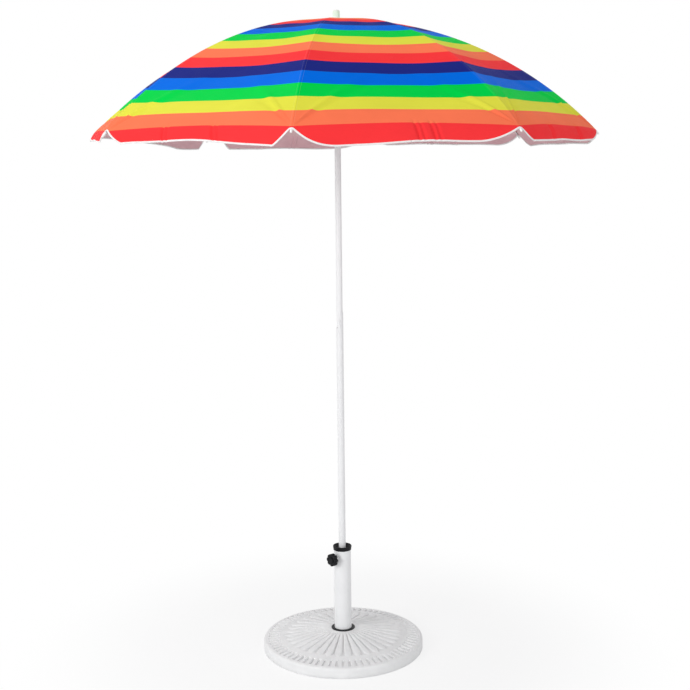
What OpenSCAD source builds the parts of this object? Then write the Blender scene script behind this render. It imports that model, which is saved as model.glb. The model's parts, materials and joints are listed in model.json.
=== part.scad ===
// Beach umbrella with a striped canopy of eight gores, a two-part pole with a tilt joint,
// and a round weighted stand. Millimetres, +Z up, origin at the centre of the stand's underside.
// The first rib points along -Y, and the others follow every 45 degrees towards +X.

/* [Canopy] */
// Horizontal distance from the pole's axis to a rib's end under the cloth
canopy_r = 765; // [620:5:950]
// Height of the top of the cloth above the floor
canopy_top = 1963; // [1750:1:2300]
// Radius at which the two arcs of a rib meet, at the stretcher's joint
bend_r = 400; // [330:5:450]
// Slope of a rib where its two arcs meet, in degrees below level
bend_slope = 23; // [17:1:26]
// Slope of a rib at its end, in degrees below level
end_slope = 46; // [42:1:55]
// Thickness of the cloth
cloth_t = 0.6; // [0.4:0.1:1.2]
// Depth of the hanging flap below the rib ends
flap_drop = 44; // [30:1:80]
// Slope of the flap, in degrees below level
flap_slope = 71; // [64:1:82]
// Half width, at the hem, of the notch that parts the flap at each rib
notch_half_w = 40; // [30:1:60]

/* [Ribs] */
// Diameter of a rib's rod
rib_d = 4; // [3:0.5:5]
// Length of the spigot that stands out past the cloth at a rib's end
rib_end_len = 14; // [12:1:22]
// Outer diameter of the cap on a rib's end
rib_tip_d = 6; // [5.6:0.2:7]
// Thickness of a rib's flat eyes and lugs
lug_t = 2.4; // [1.6:0.2:3]
// Distance of a rib's crown pivot from the pole's axis
crown_pivot_r = 17; // [16:0.5:20]
// Depth of a rib's crown pivot below the top of the cloth
crown_pivot_depth = 6.5; // [6.3:0.1:8]
// Depth of the stretcher's joint below the axis of the rib's rod
joint_drop = 8; // [7:0.5:12]
// Diameter of the rivet in that joint
rivet_d = 3; // [2:0.5:4]

/* [Stretchers and runner] */
// Diameter of a stretcher's rod
stretcher_d = 4; // [3:0.5:5]
// Height of the crown pivots above the pivots on the runner
runner_drop = 230; // [180:5:300]
// Distance of a runner pivot from the pole's axis
runner_pivot_r = 22; // [21:0.5:28]
// Outer diameter of the runner's sleeve
runner_sleeve_d = 27; // [25:0.5:30]
// Length of the sleeve below the runner's pivots
runner_sleeve_len = 44; // [30:1:60]
// Height of the runner's slotted flange
runner_flange_h = 10; // [7:0.5:14]

/* [Crown and finial] */
// Outer diameter of the slotted crown
crown_d = 44; // [42:1:52]
// Height of the slotted crown
crown_h = 12.5; // [11:0.5:18]
// Length of the crown's socket on the pole, below the slots
crown_socket_len = 26; // [15:1:40]
// Diameter of the wire ring that the ribs hang on
wire_d = 2; // [1.6:0.1:2.4]
// Diameter of the finial's grip
finial_d = 21; // [17:0.5:26]
// Height of the finial above its flange
finial_h = 25; // [20:1:40]
// Diameter of the finial's flange
finial_flange_d = 34; // [30:1:42]
// Thickness of the finial's flange
finial_flange_h = 4; // [2:0.5:6]

/* [Pole] */
// Outer diameter of the upper pole
upper_d = 19; // [18:0.5:20]
// Outer diameter of the lower pole
lower_d = 22; // [22:0.5:25]
// Wall of both poles
pole_wall = 1.2; // [0.8:0.1:1.3]
// Height of the lower pole's upper end
lower_top = 1026; // [900:2:1120]
// Height of the tilt pin above the lower pole's upper end
tilt_pin_rise = 18; // [16:0.5:24]
// Diameter of the tilt pin
tilt_pin_d = 5; // [4:0.5:6]
// Height of the tilt bracket's highest corner above the lower pole's upper end
bracket_h = 59; // [50:1:80]
// Length of the bracket's plug in the lower pole
bracket_plug_len = 40; // [25:1:60]
// Reach of the bracket's cheeks past the pole's axis, on the open side
cheek_reach = 5; // [4.5:0.5:7]
// Height of the tilt button above the tilt pin
button_rise = 14; // [13:0.5:18]
// Diameter of the tilt button
button_d = 7; // [6:0.5:8]
// Travel of the tilt button
button_travel = 3; // [2:0.5:3.5]

/* [Stand] */
// Diameter of the weighted base
base_d = 510; // [440:5:600]
// Height of the base at its rim
rim_h = 34; // [26:1:50]
// Height of the base at its hub
hub_h = 63; // [58:1:90]
// Diameter of the flat hub on top of the base
hub_d = 92; // [86:2:120]
// Number of petals moulded in the base's top
petals = 36; // [24:4:48]
// Width of the groove between two petals
petal_groove_w = 5; // [2:0.5:6]
// Angle of a groove between two petals from the front, towards the right, in degrees
petal_turn = 8; // [0:1:15]
// Outer diameter of the stand's tube
tube_d = 55; // [50:0.5:62]
// Wall of the stand's tube
tube_wall = 2; // [1.5:0.1:3]
// Height of the stand's tube at its upper end
tube_top = 324; // [280:2:400]
// Depth of the tube's socket in the base
tube_socket = 26; // [18:1:30]
// Outer diameter of the reducing bush's flared lip
bush_lip_d = 59; // [58:0.5:68]
// Height of the bush above the tube
bush_lip_h = 13; // [7:0.5:16]
// Length of the bush's sleeve in the tube
bush_sleeve_len = 15; // [10:0.5:16]
// Outer diameter of the foot ring round the tube
foot_ring_d = 75; // [66:0.5:84]
// Height of the foot ring
foot_ring_h = 2.5; // [2:0.5:12]

/* [Clamp] */
// Depth of the clamp screw's axis below the tube's upper end
clamp_depth = 24; // [24:0.5:60]
// Direction of the clamp, in degrees from -Y towards -X
clamp_angle = 34; // [0:1:90]
// Diameter of the clamp screw
screw_d = 8; // [6:0.5:8]
// Outer diameter of the lobed knob
knob_d = 41; // [34:1:50]
// Thickness of the lobed knob
knob_t = 15; // [10:0.5:22]
// Distance from the tube's wall to the knob
knob_stand_off = 12; // [9:0.5:20]
// Diameter of the pressure pad
pad_d = 13; // [11:0.5:14]
// Thickness of the pressure pad
pad_t = 5; // [4:0.5:6]

/* [Hidden] */
$fn = 64;
// Radial clearance of a running fit, and the gap between pieces that only lie close
fit = 0.1;
gap = 0.3;
ribs = 8;
rib_step = 360 / ribs;
half_step = rib_step / 2;
// Far enough to cut through anything it is used on
far = 3000;

// The rib's outline: an arc that is level at the pole, and a tighter one that meets it smoothly
arc_1_r = bend_r / sin(bend_slope);
arc_2_r = (canopy_r - bend_r) / (sin(end_slope) - sin(bend_slope));
arc_1_centre = [0, canopy_top - arc_1_r];
bend_point = arc_1_centre + arc_1_r * [sin(bend_slope), cos(bend_slope)];
arc_2_centre = bend_point - arc_2_r * [sin(bend_slope), cos(bend_slope)];

// Point at a slope on the outline, at a depth below the cloth's outer face
function outline(slope, depth) =
    slope <= bend_slope
    ? arc_1_centre + (arc_1_r - depth) * [sin(slope), cos(slope)]
    : arc_2_centre + (arc_2_r - depth) * [sin(slope), cos(slope)];

// Slope of the outline at a radius within the first arc
function slope_at(r) = asin(r / arc_1_r);

rib_end = outline(end_slope, 0);
rib_cloth_gap = 0.6;
rib_depth = cloth_t + rib_cloth_gap + rib_d / 2;
rod_end = outline(end_slope, rib_depth);
spigot_d = rib_d - 0.5;

// Crown pivot, and the rod's start just outside the crown
crown_pivot = [crown_pivot_r, canopy_top - crown_pivot_depth];
eye_d = 6;
rod_start_slope = slope_at(crown_d / 2 + 12);
rod_start = outline(rod_start_slope, rib_depth);
slot_w = lug_t + 2 * gap;

// Joint of rib and stretcher, and the stretcher's pivot on the runner
joint_rod = outline(bend_slope, rib_depth);
joint_point = outline(bend_slope, rib_depth + joint_drop);
clip_d = rib_d + 0.5;
clip_len = 16;
runner_pivot = [runner_pivot_r, crown_pivot[1] - runner_drop];
stretcher_vector = joint_point - runner_pivot;
stretcher_len = norm(stretcher_vector);
stretcher_rise = atan2(stretcher_vector[1], stretcher_vector[0]);
fork_t = 1.2;
fork_len = 12;
fork_inner = lug_t / 2 + 0.15;
fork_outer = fork_inner + fork_t;
joint_eye_d = rivet_d + 4;
cross_pin_len = 8;

// Crown
crown_top = canopy_top - cloth_t - 0.9;
crown_plate_t = crown_pivot_depth - eye_d / 2 - 0.4 - (canopy_top - crown_top);
crown_foot = crown_top - crown_h;
crown_socket_d = upper_d + 7;
stud_d = 8;
stud_top = canopy_top + 16;
cloth_hole_d = stud_d + 4;

// Upper pole
tilt_pin_z = lower_top + tilt_pin_rise;
upper_top = crown_top - crown_plate_t - 2;
upper_ball_d = upper_d;
upper_plug_rise = 6;

// Runner catch: a leaf inside the upper pole whose nose stands out under the runner
catch_w = 4;
catch_h = 30;
catch_t = 1.2;
catch_nose = 3;
catch_top = runner_pivot[1] - runner_sleeve_len - gap;

// Tilt bracket
bracket_inner_r = upper_d / 2 + gap;
bracket_floor = tilt_pin_z - upper_ball_d / 2 - gap;
bracket_open_z = tilt_pin_z - 7;
bracket_top = lower_top + bracket_h;
bracket_slant = 36;
button_z = tilt_pin_z + button_rise;
button_in = 4;
// Pressed by its travel, the button lies level with the upper pole's wall
button_out = upper_d / 2 + button_travel;

// Stand
rim_round = 8;
base_bevel = 2;
tube_foot = hub_h - tube_socket;
tube_inner_d = tube_d - 2 * tube_wall;
tube_plate_t = 6;
bolt_d = 10;
bolt_pocket_h = 12;
bolt_pocket_d = 34;
socket_floor = tube_foot + tube_plate_t;
pole_foot = socket_floor + 6;
socket_h = 30;
pole_point_h = 8;
bush_top = tube_top + bush_lip_h;
bush_foot = tube_top - bush_sleeve_len;
petal_start_r = hub_d / 2 + 4;
petal_end_r = 0.70 * base_d / 2;
tick_start_r = 0.85 * base_d / 2;
tick_end_r = 0.93 * base_d / 2;
tick_w = 2.5;
top_edge_r = base_d / 2 - rim_round;
top_edge_z = rim_h;
top_fall = atan2(hub_h - top_edge_z, top_edge_r - hub_d / 2);

// Clamp, along its own axis outwards from the pole's axis
clamp_z = tube_top - clamp_depth;
pad_face = lower_d / 2 + 0.2;
pad_back = pad_face + pad_t;
dog_d = screw_d - 3;
dog_len = 3;
nut_af = 13;
nut_t = 6.5;
nut_start = tube_d / 2 - 1;
knob_face = tube_d / 2 + knob_stand_off;
knob_lobes = 8;

RIB_NODES = [for (part = ["rib", "rib_tip", "rib_rivet", "stretcher", "canopy"])
    for (i = [1:ribs]) str(part, "_", i)];

white = "whitesmoke";
steel = "silver";
black = [0.12, 0.12, 0.13];

// Frame helpers

// Puts children, drawn with +X outwards, at rib number i
module at_rib(i) {
    rotate([0, 0, -90 + rib_step * (i - 1)]) children();
}

// Puts children, drawn with +X outwards along the screw, at the clamp
module at_clamp() {
    translate([0, 0, clamp_z]) rotate([0, 0, -90 - clamp_angle]) children();
}

// Moves children to a point of the upright plane through a rib
module at_point(p) {
    translate([p[0], 0, p[1]]) children();
}

// A cylinder along Y, centred
module cross_pin(d, len) {
    rotate([90, 0, 0]) cylinder(d = d, h = len, center = true);
}

// A cylinder along +X from x0 to x1
module along_x(d, x0, x1) {
    translate([x0, 0, 0]) rotate([0, 90, 0]) cylinder(d = d, h = x1 - x0);
}

module tube(d, wall, z0, z1) {
    difference() {
        translate([0, 0, z0]) cylinder(d = d, h = z1 - z0);
        translate([0, 0, z0 - 1]) cylinder(d = d - 2 * wall, h = z1 - z0 + 2);
    }
}

// Stand

module groove(w, r0, r1) {
    translate([top_edge_r, 0, top_edge_z])
        rotate([0, top_fall, 0])
            translate([0, 0, w * 0.15])
                along_x(w, -(top_edge_r - r0) / cos(top_fall), -(top_edge_r - r1) / cos(top_fall));
}

module base_weight() {
    color(white) difference() {
        rotate_extrude($fn = 128) polygon(concat(
            [[0, 0], [base_d / 2 - base_bevel, 0], [base_d / 2, base_bevel]],
            [for (a = [0:15:90 - 15])
                [top_edge_r + rim_round * cos(a), rim_h - rim_round + rim_round * sin(a)]],
            [[top_edge_r, rim_h], [hub_d / 2, hub_h], [0, hub_h]]));
        translate([0, 0, tube_foot]) cylinder(d = tube_d + 2 * fit, h = far);
        translate([0, 0, -1]) cylinder(d = bolt_d + 1, h = far);
        translate([0, 0, -1]) cylinder(d = bolt_pocket_d, h = bolt_pocket_h + 1);
        rotate([0, 0, petal_turn - 90]) {
            for (k = [0:petals - 1])
                rotate([0, 0, k * 360 / petals]) groove(petal_groove_w, petal_start_r, petal_end_r);
            for (k = [0:2 * petals - 1])
                rotate([0, 0, k * 180 / petals]) groove(tick_w, tick_start_r, tick_end_r);
        }
    }
}

module base_tube() {
    color(white) difference() {
        union() {
            tube(tube_d, tube_wall, tube_foot, tube_top);
            difference() {
                translate([0, 0, tube_foot]) cylinder(d = tube_d - tube_wall, h = tube_plate_t);
                translate([0, 0, tube_foot - 1]) cylinder(d = bolt_d + 2 * fit, h = tube_plate_t + 2);
            }
            at_clamp() translate([nut_start, 0, 0]) rotate([0, 90, 0])
                cylinder(d = nut_af / cos(30), h = nut_t, $fn = 6);
        }
        at_clamp() along_x(screw_d + 2 * fit, 0, nut_start + nut_t + 1);
    }
}

module foot_ring() {
    ring_round = foot_ring_h / 2;
    color(black) translate([0, 0, hub_h]) rotate_extrude() difference() {
        union() {
            translate([tube_d / 2 + fit, 0])
                square([foot_ring_d / 2 - tube_d / 2 - fit - ring_round, foot_ring_h]);
            translate([tube_d / 2 + fit, 0])
                square([foot_ring_d / 2 - tube_d / 2 - fit, foot_ring_h - ring_round]);
            translate([foot_ring_d / 2 - ring_round, foot_ring_h - ring_round]) circle(r = ring_round);
        }
        translate([0, -far]) square([far, far]);
    }
}

module base_bolt() {
    collar_t = 3;
    head_t = 6;
    color(steel) {
        translate([0, 0, bolt_pocket_h]) cylinder(d = bolt_d, h = tube_foot + tube_plate_t - bolt_pocket_h);
        translate([0, 0, bolt_pocket_h - collar_t]) cylinder(d = bolt_pocket_d - 6, h = collar_t);
        translate([0, 0, bolt_pocket_h - collar_t - head_t]) cylinder(d = 1.9 * bolt_d, h = head_t, $fn = 6);
    }
}

module pole_socket() {
    color(black) difference() {
        translate([0, 0, socket_floor]) cylinder(d = tube_inner_d - 2 * fit, h = socket_h);
        translate([0, 0, pole_foot - gap]) cylinder(d = lower_d + 2 * fit, h = socket_h);
    }
}

module reducing_bush() {
    band_d = bush_lip_d - 2;
    lip_z = tube_top + 0.45 * bush_lip_h;
    bore_r = lower_d / 2 + fit;
    mouth_r = bush_lip_d / 2 - 2.2;
    color(black) rotate_extrude() polygon([
        [bore_r, bush_foot],
        [tube_inner_d / 2 - fit, bush_foot],
        [tube_inner_d / 2 - fit, tube_top],
        [band_d / 2, tube_top],
        [band_d / 2, lip_z],
        [bush_lip_d / 2, lip_z + 1],
        [bush_lip_d / 2, bush_top - 1],
        [bush_lip_d / 2 - 1, bush_top],
        [mouth_r, bush_top],
        [bore_r, bush_foot + 0.6 * bush_sleeve_len]]);
}

// Clamp

module pressure_pad() {
    color(steel) at_clamp() difference() {
        along_x(pad_d, pad_face, pad_back);
        along_x(dog_d + 2 * fit, pad_back - dog_len - fit, pad_back + 1);
    }
}

module clamp_screw() {
    color(steel) at_clamp() {
        along_x(dog_d, pad_back - dog_len, pad_back + 1);
        along_x(screw_d, pad_back + fit, knob_face + knob_t - 3);
    }
}

module clamp_knob() {
    lobe_d = 0.26 * knob_d;
    color(black) at_clamp() difference() {
        union() {
            along_x(knob_d - lobe_d * 0.7, knob_face, knob_face + knob_t);
            for (k = [0:knob_lobes - 1])
                rotate([k * 360 / knob_lobes, 0, 0])
                    translate([0, 0, (knob_d - lobe_d) / 2])
                        along_x(lobe_d, knob_face + 1, knob_face + knob_t - 1);
        }
        along_x(screw_d + 2 * fit, knob_face - 1, knob_face + knob_t - 3 + fit);
    }
}

// Pole

module lower_pole() {
    r = lower_d / 2;
    color(white) rotate_extrude() polygon([
        [0, pole_foot],
        [r - 4, pole_foot],
        [r, pole_foot + pole_point_h],
        [r, lower_top],
        [r - pole_wall, lower_top],
        [r - pole_wall, pole_foot + pole_point_h],
        [r - 4 - pole_wall / 2, pole_foot + 2],
        [0, pole_foot + 2]]);
}

module tilt_bracket() {
    outer_r = lower_d / 2;
    plug_d = lower_d - 2 * pole_wall - 2 * fit;
    color(white) difference() {
        union() {
            translate([0, 0, lower_top - bracket_plug_len]) cylinder(d = plug_d, h = bracket_plug_len + 1);
            translate([0, 0, lower_top]) cylinder(r = outer_r, h = bracket_h);
        }
        translate([0, 0, bracket_floor]) cylinder(r = bracket_inner_r, h = far);
        // Square room between the cheeks
        translate([-far, -bracket_inner_r, bracket_open_z]) cube([far, 2 * bracket_inner_r, far]);
        // Open side
        translate([-far - cheek_reach, -far / 2, bracket_open_z]) cube([far, far, far]);
        // Slanted upper edge
        translate([outer_r, 0, bracket_top]) rotate([0, -bracket_slant, 0])
            translate([-far / 2, -far / 2, 0]) cube([far, far, far]);
        // Pin hole
        translate([0, 0, tilt_pin_z]) cross_pin(tilt_pin_d + 2 * fit, 2 * lower_d);
        // Slot that the button leaves by as the pole tilts
        translate([0, -outer_r, button_z]) {
            cross_pin(button_d + 2 * gap, lower_d);
            translate([-far, -outer_r, -button_d / 2 - gap - 2.5])
                cube([far, lower_d, button_d + 2 * gap + 2.5]);
        }
    }
}

module tilt_pin() {
    head_d = tilt_pin_d + 3;
    color(white) translate([0, 0, tilt_pin_z]) {
        cross_pin(tilt_pin_d, lower_d + 1);
        for (side = [-1, 1]) translate([0, side * (lower_d / 2 + 1), 0]) cross_pin(head_d, 1.6);
    }
}

module upper_pole() {
    inner_d = upper_d - 2 * pole_wall;
    color(white) difference() {
        union() {
            tube(upper_d, pole_wall, tilt_pin_z, upper_top);
            translate([0, 0, tilt_pin_z]) cylinder(d = inner_d + 0.5, h = upper_plug_rise);
            translate([0, 0, tilt_pin_z]) sphere(d = upper_ball_d);
        }
        translate([0, 0, tilt_pin_z]) cross_pin(tilt_pin_d + 2 * fit, 2 * upper_d);
        translate([0, -upper_d / 2, button_z]) cross_pin(button_d + 2 * fit, upper_d);
        translate([-upper_d, -catch_w / 2 - gap, catch_top - catch_h + 4])
            cube([upper_d, catch_w + 2 * gap, catch_h - 4 + gap]);
    }
}

module tilt_button() {
    color(white) translate([0, 0, button_z]) {
        translate([0, -button_in, 0]) rotate([90, 0, 0]) cylinder(d = button_d, h = button_out - button_in);
        translate([0, -button_in + 1, 0]) rotate([90, 0, 0]) cylinder(d = button_d + 1.6, h = 1);
    }
}

module tilt_spring() {
    back = upper_d / 2 - pole_wall;
    spring_d = button_d - 2;
    color(steel) translate([0, back - 0.6, button_z]) rotate([90, 0, 0]) difference() {
        cylinder(d = spring_d, h = back - 0.6 + button_in - 1.2);
        translate([0, 0, -1]) cylinder(d = spring_d - 1.6, h = 2 * back);
    }
}

// Crown, runner and frame

module crown() {
    color(white) difference() {
        union() {
            translate([0, 0, crown_foot]) cylinder(d = crown_d, h = crown_h);
            translate([0, 0, crown_foot - crown_socket_len]) cylinder(d = crown_socket_d, h = crown_socket_len + 1);
            translate([0, 0, crown_top - 1]) cylinder(d = stud_d, h = stud_top - crown_top + 1);
        }
        translate([0, 0, crown_foot - crown_socket_len - 1])
            cylinder(d = upper_d + 2 * fit, h = upper_top + fit - (crown_foot - crown_socket_len - 1));
        // Slots for the ribs, closed on top
        for (i = [1:ribs]) at_rib(i)
            translate([crown_pivot_r - eye_d / 2 - gap, -slot_w / 2, -far])
                cube([crown_d, slot_w, far + crown_top - crown_plate_t]);
        // Groove for the wire ring, open at the edge
        rotate_extrude() translate([crown_pivot_r - wire_d / 2 - fit, crown_pivot[1] - wire_d / 2 - fit])
            square([crown_d, wire_d + 2 * fit]);
    }
}

module crown_wire() {
    color(steel) translate([0, 0, crown_pivot[1]])
        rotate_extrude() translate([crown_pivot_r, 0]) circle(d = wire_d, $fn = 24);
}

module finial() {
    flange_z = canopy_top + gap;
    grip_z = flange_z + finial_flange_h;
    grooves = 18;
    color(white) difference() {
        rotate_extrude() polygon([
            [stud_d / 2 + fit, flange_z],
            [finial_flange_d / 2, flange_z],
            [finial_flange_d / 2 - 1.5, grip_z],
            [finial_d / 2, grip_z],
            [finial_d / 2, grip_z + finial_h - 3],
            [finial_d / 2 - 3, grip_z + finial_h],
            [0, grip_z + finial_h],
            [0, stud_top + fit],
            [stud_d / 2 + fit, stud_top + fit]]);
        for (k = [0:grooves - 1]) rotate([0, 0, k * 360 / grooves])
            translate([finial_d / 2 + 0.4, 0, grip_z + 1]) cylinder(d = 2, h = finial_h + 1);
    }
}

module runner() {
    flange_d = 2 * runner_pivot_r + 10;
    flange_z = runner_pivot[1] + 0.2;
    seat_d = stretcher_d + 2 * gap;
    color(white) difference() {
        union() {
            translate([0, 0, runner_pivot[1] - runner_sleeve_len])
                cylinder(d = runner_sleeve_d, h = runner_sleeve_len + runner_flange_h + 6);
            translate([0, 0, flange_z]) cylinder(d = flange_d, h = runner_flange_h);
        }
        translate([0, 0, runner_pivot[1] - runner_sleeve_len - 1])
            cylinder(d = upper_d + 2 * fit, h = runner_sleeve_len + runner_flange_h + 8);
        for (i = [1:ribs]) at_rib(i) {
            at_point(runner_pivot) cross_pin(seat_d, cross_pin_len + 2 * gap);
            translate([runner_pivot_r - seat_d / 2, -seat_d / 2, flange_z - 1])
                cube([flange_d, seat_d, runner_flange_h + 2]);
        }
    }
}

module runner_catch() {
    inner_r = upper_d / 2 - pole_wall;
    nose_h = 10;
    color(steel) translate([0, catch_w / 2, catch_top - catch_h]) rotate([90, 0, 0])
        linear_extrude(catch_w) polygon([
            [-inner_r + gap, 0],
            [-inner_r + gap + catch_t, 0],
            [-inner_r + gap + catch_t, catch_h],
            [-upper_d / 2 - catch_nose, catch_h],
            [-upper_d / 2 - catch_nose, catch_h - 3],
            [-inner_r + gap, catch_h - 3 - nose_h]]);
}

// A bent length of rod round a centre, between two slopes
module rod_arc(centre, r, slope_0, slope_1) {
    at_point(centre) rotate([90, 0, 0]) rotate([0, 0, 90 - slope_1])
        rotate_extrude(angle = slope_1 - slope_0) translate([r, 0]) circle(d = rib_d, $fn = 24);
}

module rib(i) {
    tang = rod_start - crown_pivot;
    tang_h = 3;
    color(steel) at_rib(i) difference() {
        union() {
            rod_arc(arc_1_centre, arc_1_r - rib_depth, rod_start_slope, bend_slope);
            rod_arc(arc_2_centre, arc_2_r - rib_depth, bend_slope, end_slope);
            at_point(rod_end) rotate([0, end_slope, 0]) along_x(spigot_d, -3, rib_end_len);
            at_point(joint_rod) rotate([0, bend_slope, 0]) along_x(clip_d, -clip_len / 2, clip_len / 2);
            at_point(crown_pivot) {
                cross_pin(eye_d, lug_t);
                rotate([0, -atan2(tang[1], tang[0]), 0])
                    translate([0, -lug_t / 2, -tang_h / 2]) cube([norm(tang) + 1, lug_t, tang_h]);
            }
            at_point(joint_point) rotate([0, bend_slope, 0]) {
                cross_pin(joint_eye_d, lug_t);
                translate([-joint_eye_d / 2, -lug_t / 2, 0]) cube([joint_eye_d, lug_t, joint_drop]);
            }
        }
        at_point(crown_pivot) cross_pin(wire_d + 2 * fit, 2 * lug_t);
        at_point(joint_point) cross_pin(rivet_d + fit, 2 * lug_t);
    }
}

module rib_tip(i) {
    tip_start = 2;
    tip_end = rib_end_len + 4;
    color(white) at_rib(i) at_point(rod_end) rotate([0, end_slope, 0]) difference() {
        union() {
            along_x(rib_tip_d, tip_start, tip_end - rib_tip_d / 2);
            translate([tip_end - rib_tip_d / 2, 0, 0]) sphere(d = rib_tip_d);
        }
        along_x(spigot_d + 2 * fit, tip_start - 1, rib_end_len + fit);
    }
}

module rib_rivet(i) {
    head_t = 0.8;
    head_at = fork_outer + 0.1;
    color(steel) at_rib(i) at_point(joint_point) {
        cross_pin(rivet_d, 2 * head_at + 0.2);
        for (side = [-1, 1]) translate([0, side * (head_at + head_t / 2), 0])
            cross_pin(rivet_d + 2.4, head_t);
    }
}

module stretcher(i) {
    fork_h = joint_eye_d - 1;
    color(steel) at_rib(i) difference() {
        union() {
            at_point(runner_pivot) {
                cross_pin(stretcher_d, cross_pin_len);
                rotate([0, -stretcher_rise, 0]) {
                    along_x(stretcher_d, 0, stretcher_len - fork_len + 1);
                    translate([stretcher_len - fork_len - 3, -fork_outer, -fork_h / 2])
                        cube([5, 2 * fork_outer, fork_h]);
                    for (side = [-1, 1]) translate([0, side * (fork_inner + fork_t / 2), 0]) {
                        translate([stretcher_len - fork_len, -fork_t / 2, -fork_h / 2])
                            cube([fork_len, fork_t, fork_h]);
                        translate([stretcher_len, 0, 0]) cross_pin(fork_h, fork_t);
                    }
                }
            }
        }
        at_point(joint_point) cross_pin(rivet_d + 2 * fit, 4 * fork_outer);
    }
}

// Canopy: each node is the cloth on both sides of one rib, out to the middle of the gores

// Solid below one gore's face at a depth in the cloth, its flap drawn out by a factor
module below_gore(depth, flap_factor) {
    steps_1 = 7;
    steps_2 = 8;
    slopes = concat(
        [for (k = [0:steps_1]) k * bend_slope / steps_1],
        [for (k = [1:steps_2]) bend_slope + k * (end_slope - bend_slope) / steps_2]);
    flap = [flap_drop / tan(flap_slope), -flap_drop];
    face = [for (s = slopes) outline(s, depth)];
    hem = face[len(face) - 1] + flap_factor * flap;
    // The middle of a gore lies nearer to the pole than its ribs do
    mid_gore = cos(half_step);
    rotate([0, 0, half_step]) rotate([90, 0, 0]) linear_extrude(2 * canopy_r, center = true)
        polygon(concat([for (p = concat(face, [hem])) [p[0] * mid_gore, p[1]]], [[0, hem[1]]]));
}

// Solid below the faces of the two gores that meet at a rib
module below_cloth(depth, flap_factor) {
    intersection() {
        below_gore(depth, flap_factor);
        mirror([0, 1, 0]) below_gore(depth, flap_factor);
    }
}

module canopy(i) {
    seam = 0.05;
    sector_len = 2 * canopy_r;
    sector_half_w = sector_len * tan(half_step) - seam / cos(half_step);
    apex_half_w = rib_tip_d / 2;
    apex_rise = 2;
    overcut = 1.5;
    notch_h = (flap_drop + apex_rise) * overcut;
    notch_foot = apex_half_w + (notch_half_w - apex_half_w) * overcut;
    color("orange") at_rib(i) difference() {
        intersection() {
            below_cloth(0, 1);
            linear_extrude(far) polygon([
                [seam / sin(half_step), 0],
                [sector_len, -sector_half_w],
                [sector_len, sector_half_w]]);
        }
        below_cloth(cloth_t, 1.3);
        cylinder(d = cloth_hole_d, h = far);
        // Notch of the flap
        translate([canopy_r - 30, 0, rib_end[1] + apex_rise]) rotate([90, 0, 90]) linear_extrude(120)
            polygon([
                [-apex_half_w, 0],
                [apex_half_w, 0],
                [notch_foot, -notch_h],
                [-notch_foot, -notch_h]]);
    }
}

base_weight();
base_tube();
foot_ring();
base_bolt();
pole_socket();
reducing_bush();
pressure_pad();
clamp_screw();
clamp_knob();
lower_pole();
tilt_bracket();
tilt_pin();
upper_pole();
tilt_button();
tilt_spring();
crown();
crown_wire();
finial();
runner();
runner_catch();
for (i = [1:ribs]) {
    rib(i);
    rib_tip(i);
    rib_rivet(i);
    stretcher(i);
    canopy(i);
}
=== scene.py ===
import json
import math
from functools import lru_cache

import bmesh
import bpy
from mathutils import Matrix, Vector


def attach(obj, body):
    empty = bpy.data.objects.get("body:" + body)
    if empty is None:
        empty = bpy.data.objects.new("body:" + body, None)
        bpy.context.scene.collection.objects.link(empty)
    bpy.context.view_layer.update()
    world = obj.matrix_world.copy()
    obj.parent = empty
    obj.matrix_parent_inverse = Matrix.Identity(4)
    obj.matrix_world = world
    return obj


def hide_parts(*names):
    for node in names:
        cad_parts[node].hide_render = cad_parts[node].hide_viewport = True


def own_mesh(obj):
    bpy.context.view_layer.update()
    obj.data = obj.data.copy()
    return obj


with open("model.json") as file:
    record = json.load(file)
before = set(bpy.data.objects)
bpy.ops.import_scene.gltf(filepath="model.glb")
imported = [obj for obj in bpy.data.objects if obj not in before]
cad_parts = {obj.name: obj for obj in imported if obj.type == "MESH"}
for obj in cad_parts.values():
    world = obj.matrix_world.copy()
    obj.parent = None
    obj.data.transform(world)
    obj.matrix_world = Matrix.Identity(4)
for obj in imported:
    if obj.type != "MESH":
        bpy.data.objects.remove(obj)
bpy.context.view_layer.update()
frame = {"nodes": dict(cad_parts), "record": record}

UP = Vector((0, 0, 1))

# Sizes of the canopy, in metres, as in the part's source
RIBS = 8
RIB_STEP = math.tau / RIBS
HALF_STEP = RIB_STEP / 2
CANOPY_R = 0.765
CANOPY_TOP = 1.963
BEND_R = 0.400
BEND_SLOPE = math.radians(23)
END_SLOPE = math.radians(46)
FLAP_SLOPE = math.radians(71)
FLAP_DROP = 0.044
CLOTH_T = 0.0006
CLOTH_HOLE_R = 0.006

# The rib's outline is an arc that is level at the pole and a second one that meets it smoothly
ARC_1_R = BEND_R / math.sin(BEND_SLOPE)
ARC_2_R = (CANOPY_R - BEND_R) / (math.sin(END_SLOPE) - math.sin(BEND_SLOPE))
ARC_1_LEN = ARC_1_R * BEND_SLOPE
RIB_LEN = ARC_1_LEN + ARC_2_R * (END_SLOPE - BEND_SLOPE)
BEND_Z = CANOPY_TOP - ARC_1_R * (1 - math.cos(BEND_SLOPE))
RIB_END_Z = BEND_Z - ARC_2_R * (math.cos(BEND_SLOPE) - math.cos(END_SLOPE))
FLAP_LEN = FLAP_DROP / math.sin(FLAP_SLOPE)
# Length over which the cloth rolls from the rib's end slope into the hanging flap
ROLL_LEN = 0.022
CHORD_END = 2 * CANOPY_R * math.sin(HALF_STEP)

# Width of a printed band, measured along the middle of a gore
BAND_W = 0.053
# Sag of the cloth between two ribs, and how far its slack edge bulges out above the flap
SAG = 0.009
HEM_BULGE = 0.011
HEM_BULGE_REACH = 0.09
# Soft unevenness of the stretched cloth, and the length from the pole over which it grows
RIPPLE = 0.0012
RIPPLE_GROWTH = 0.2
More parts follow.
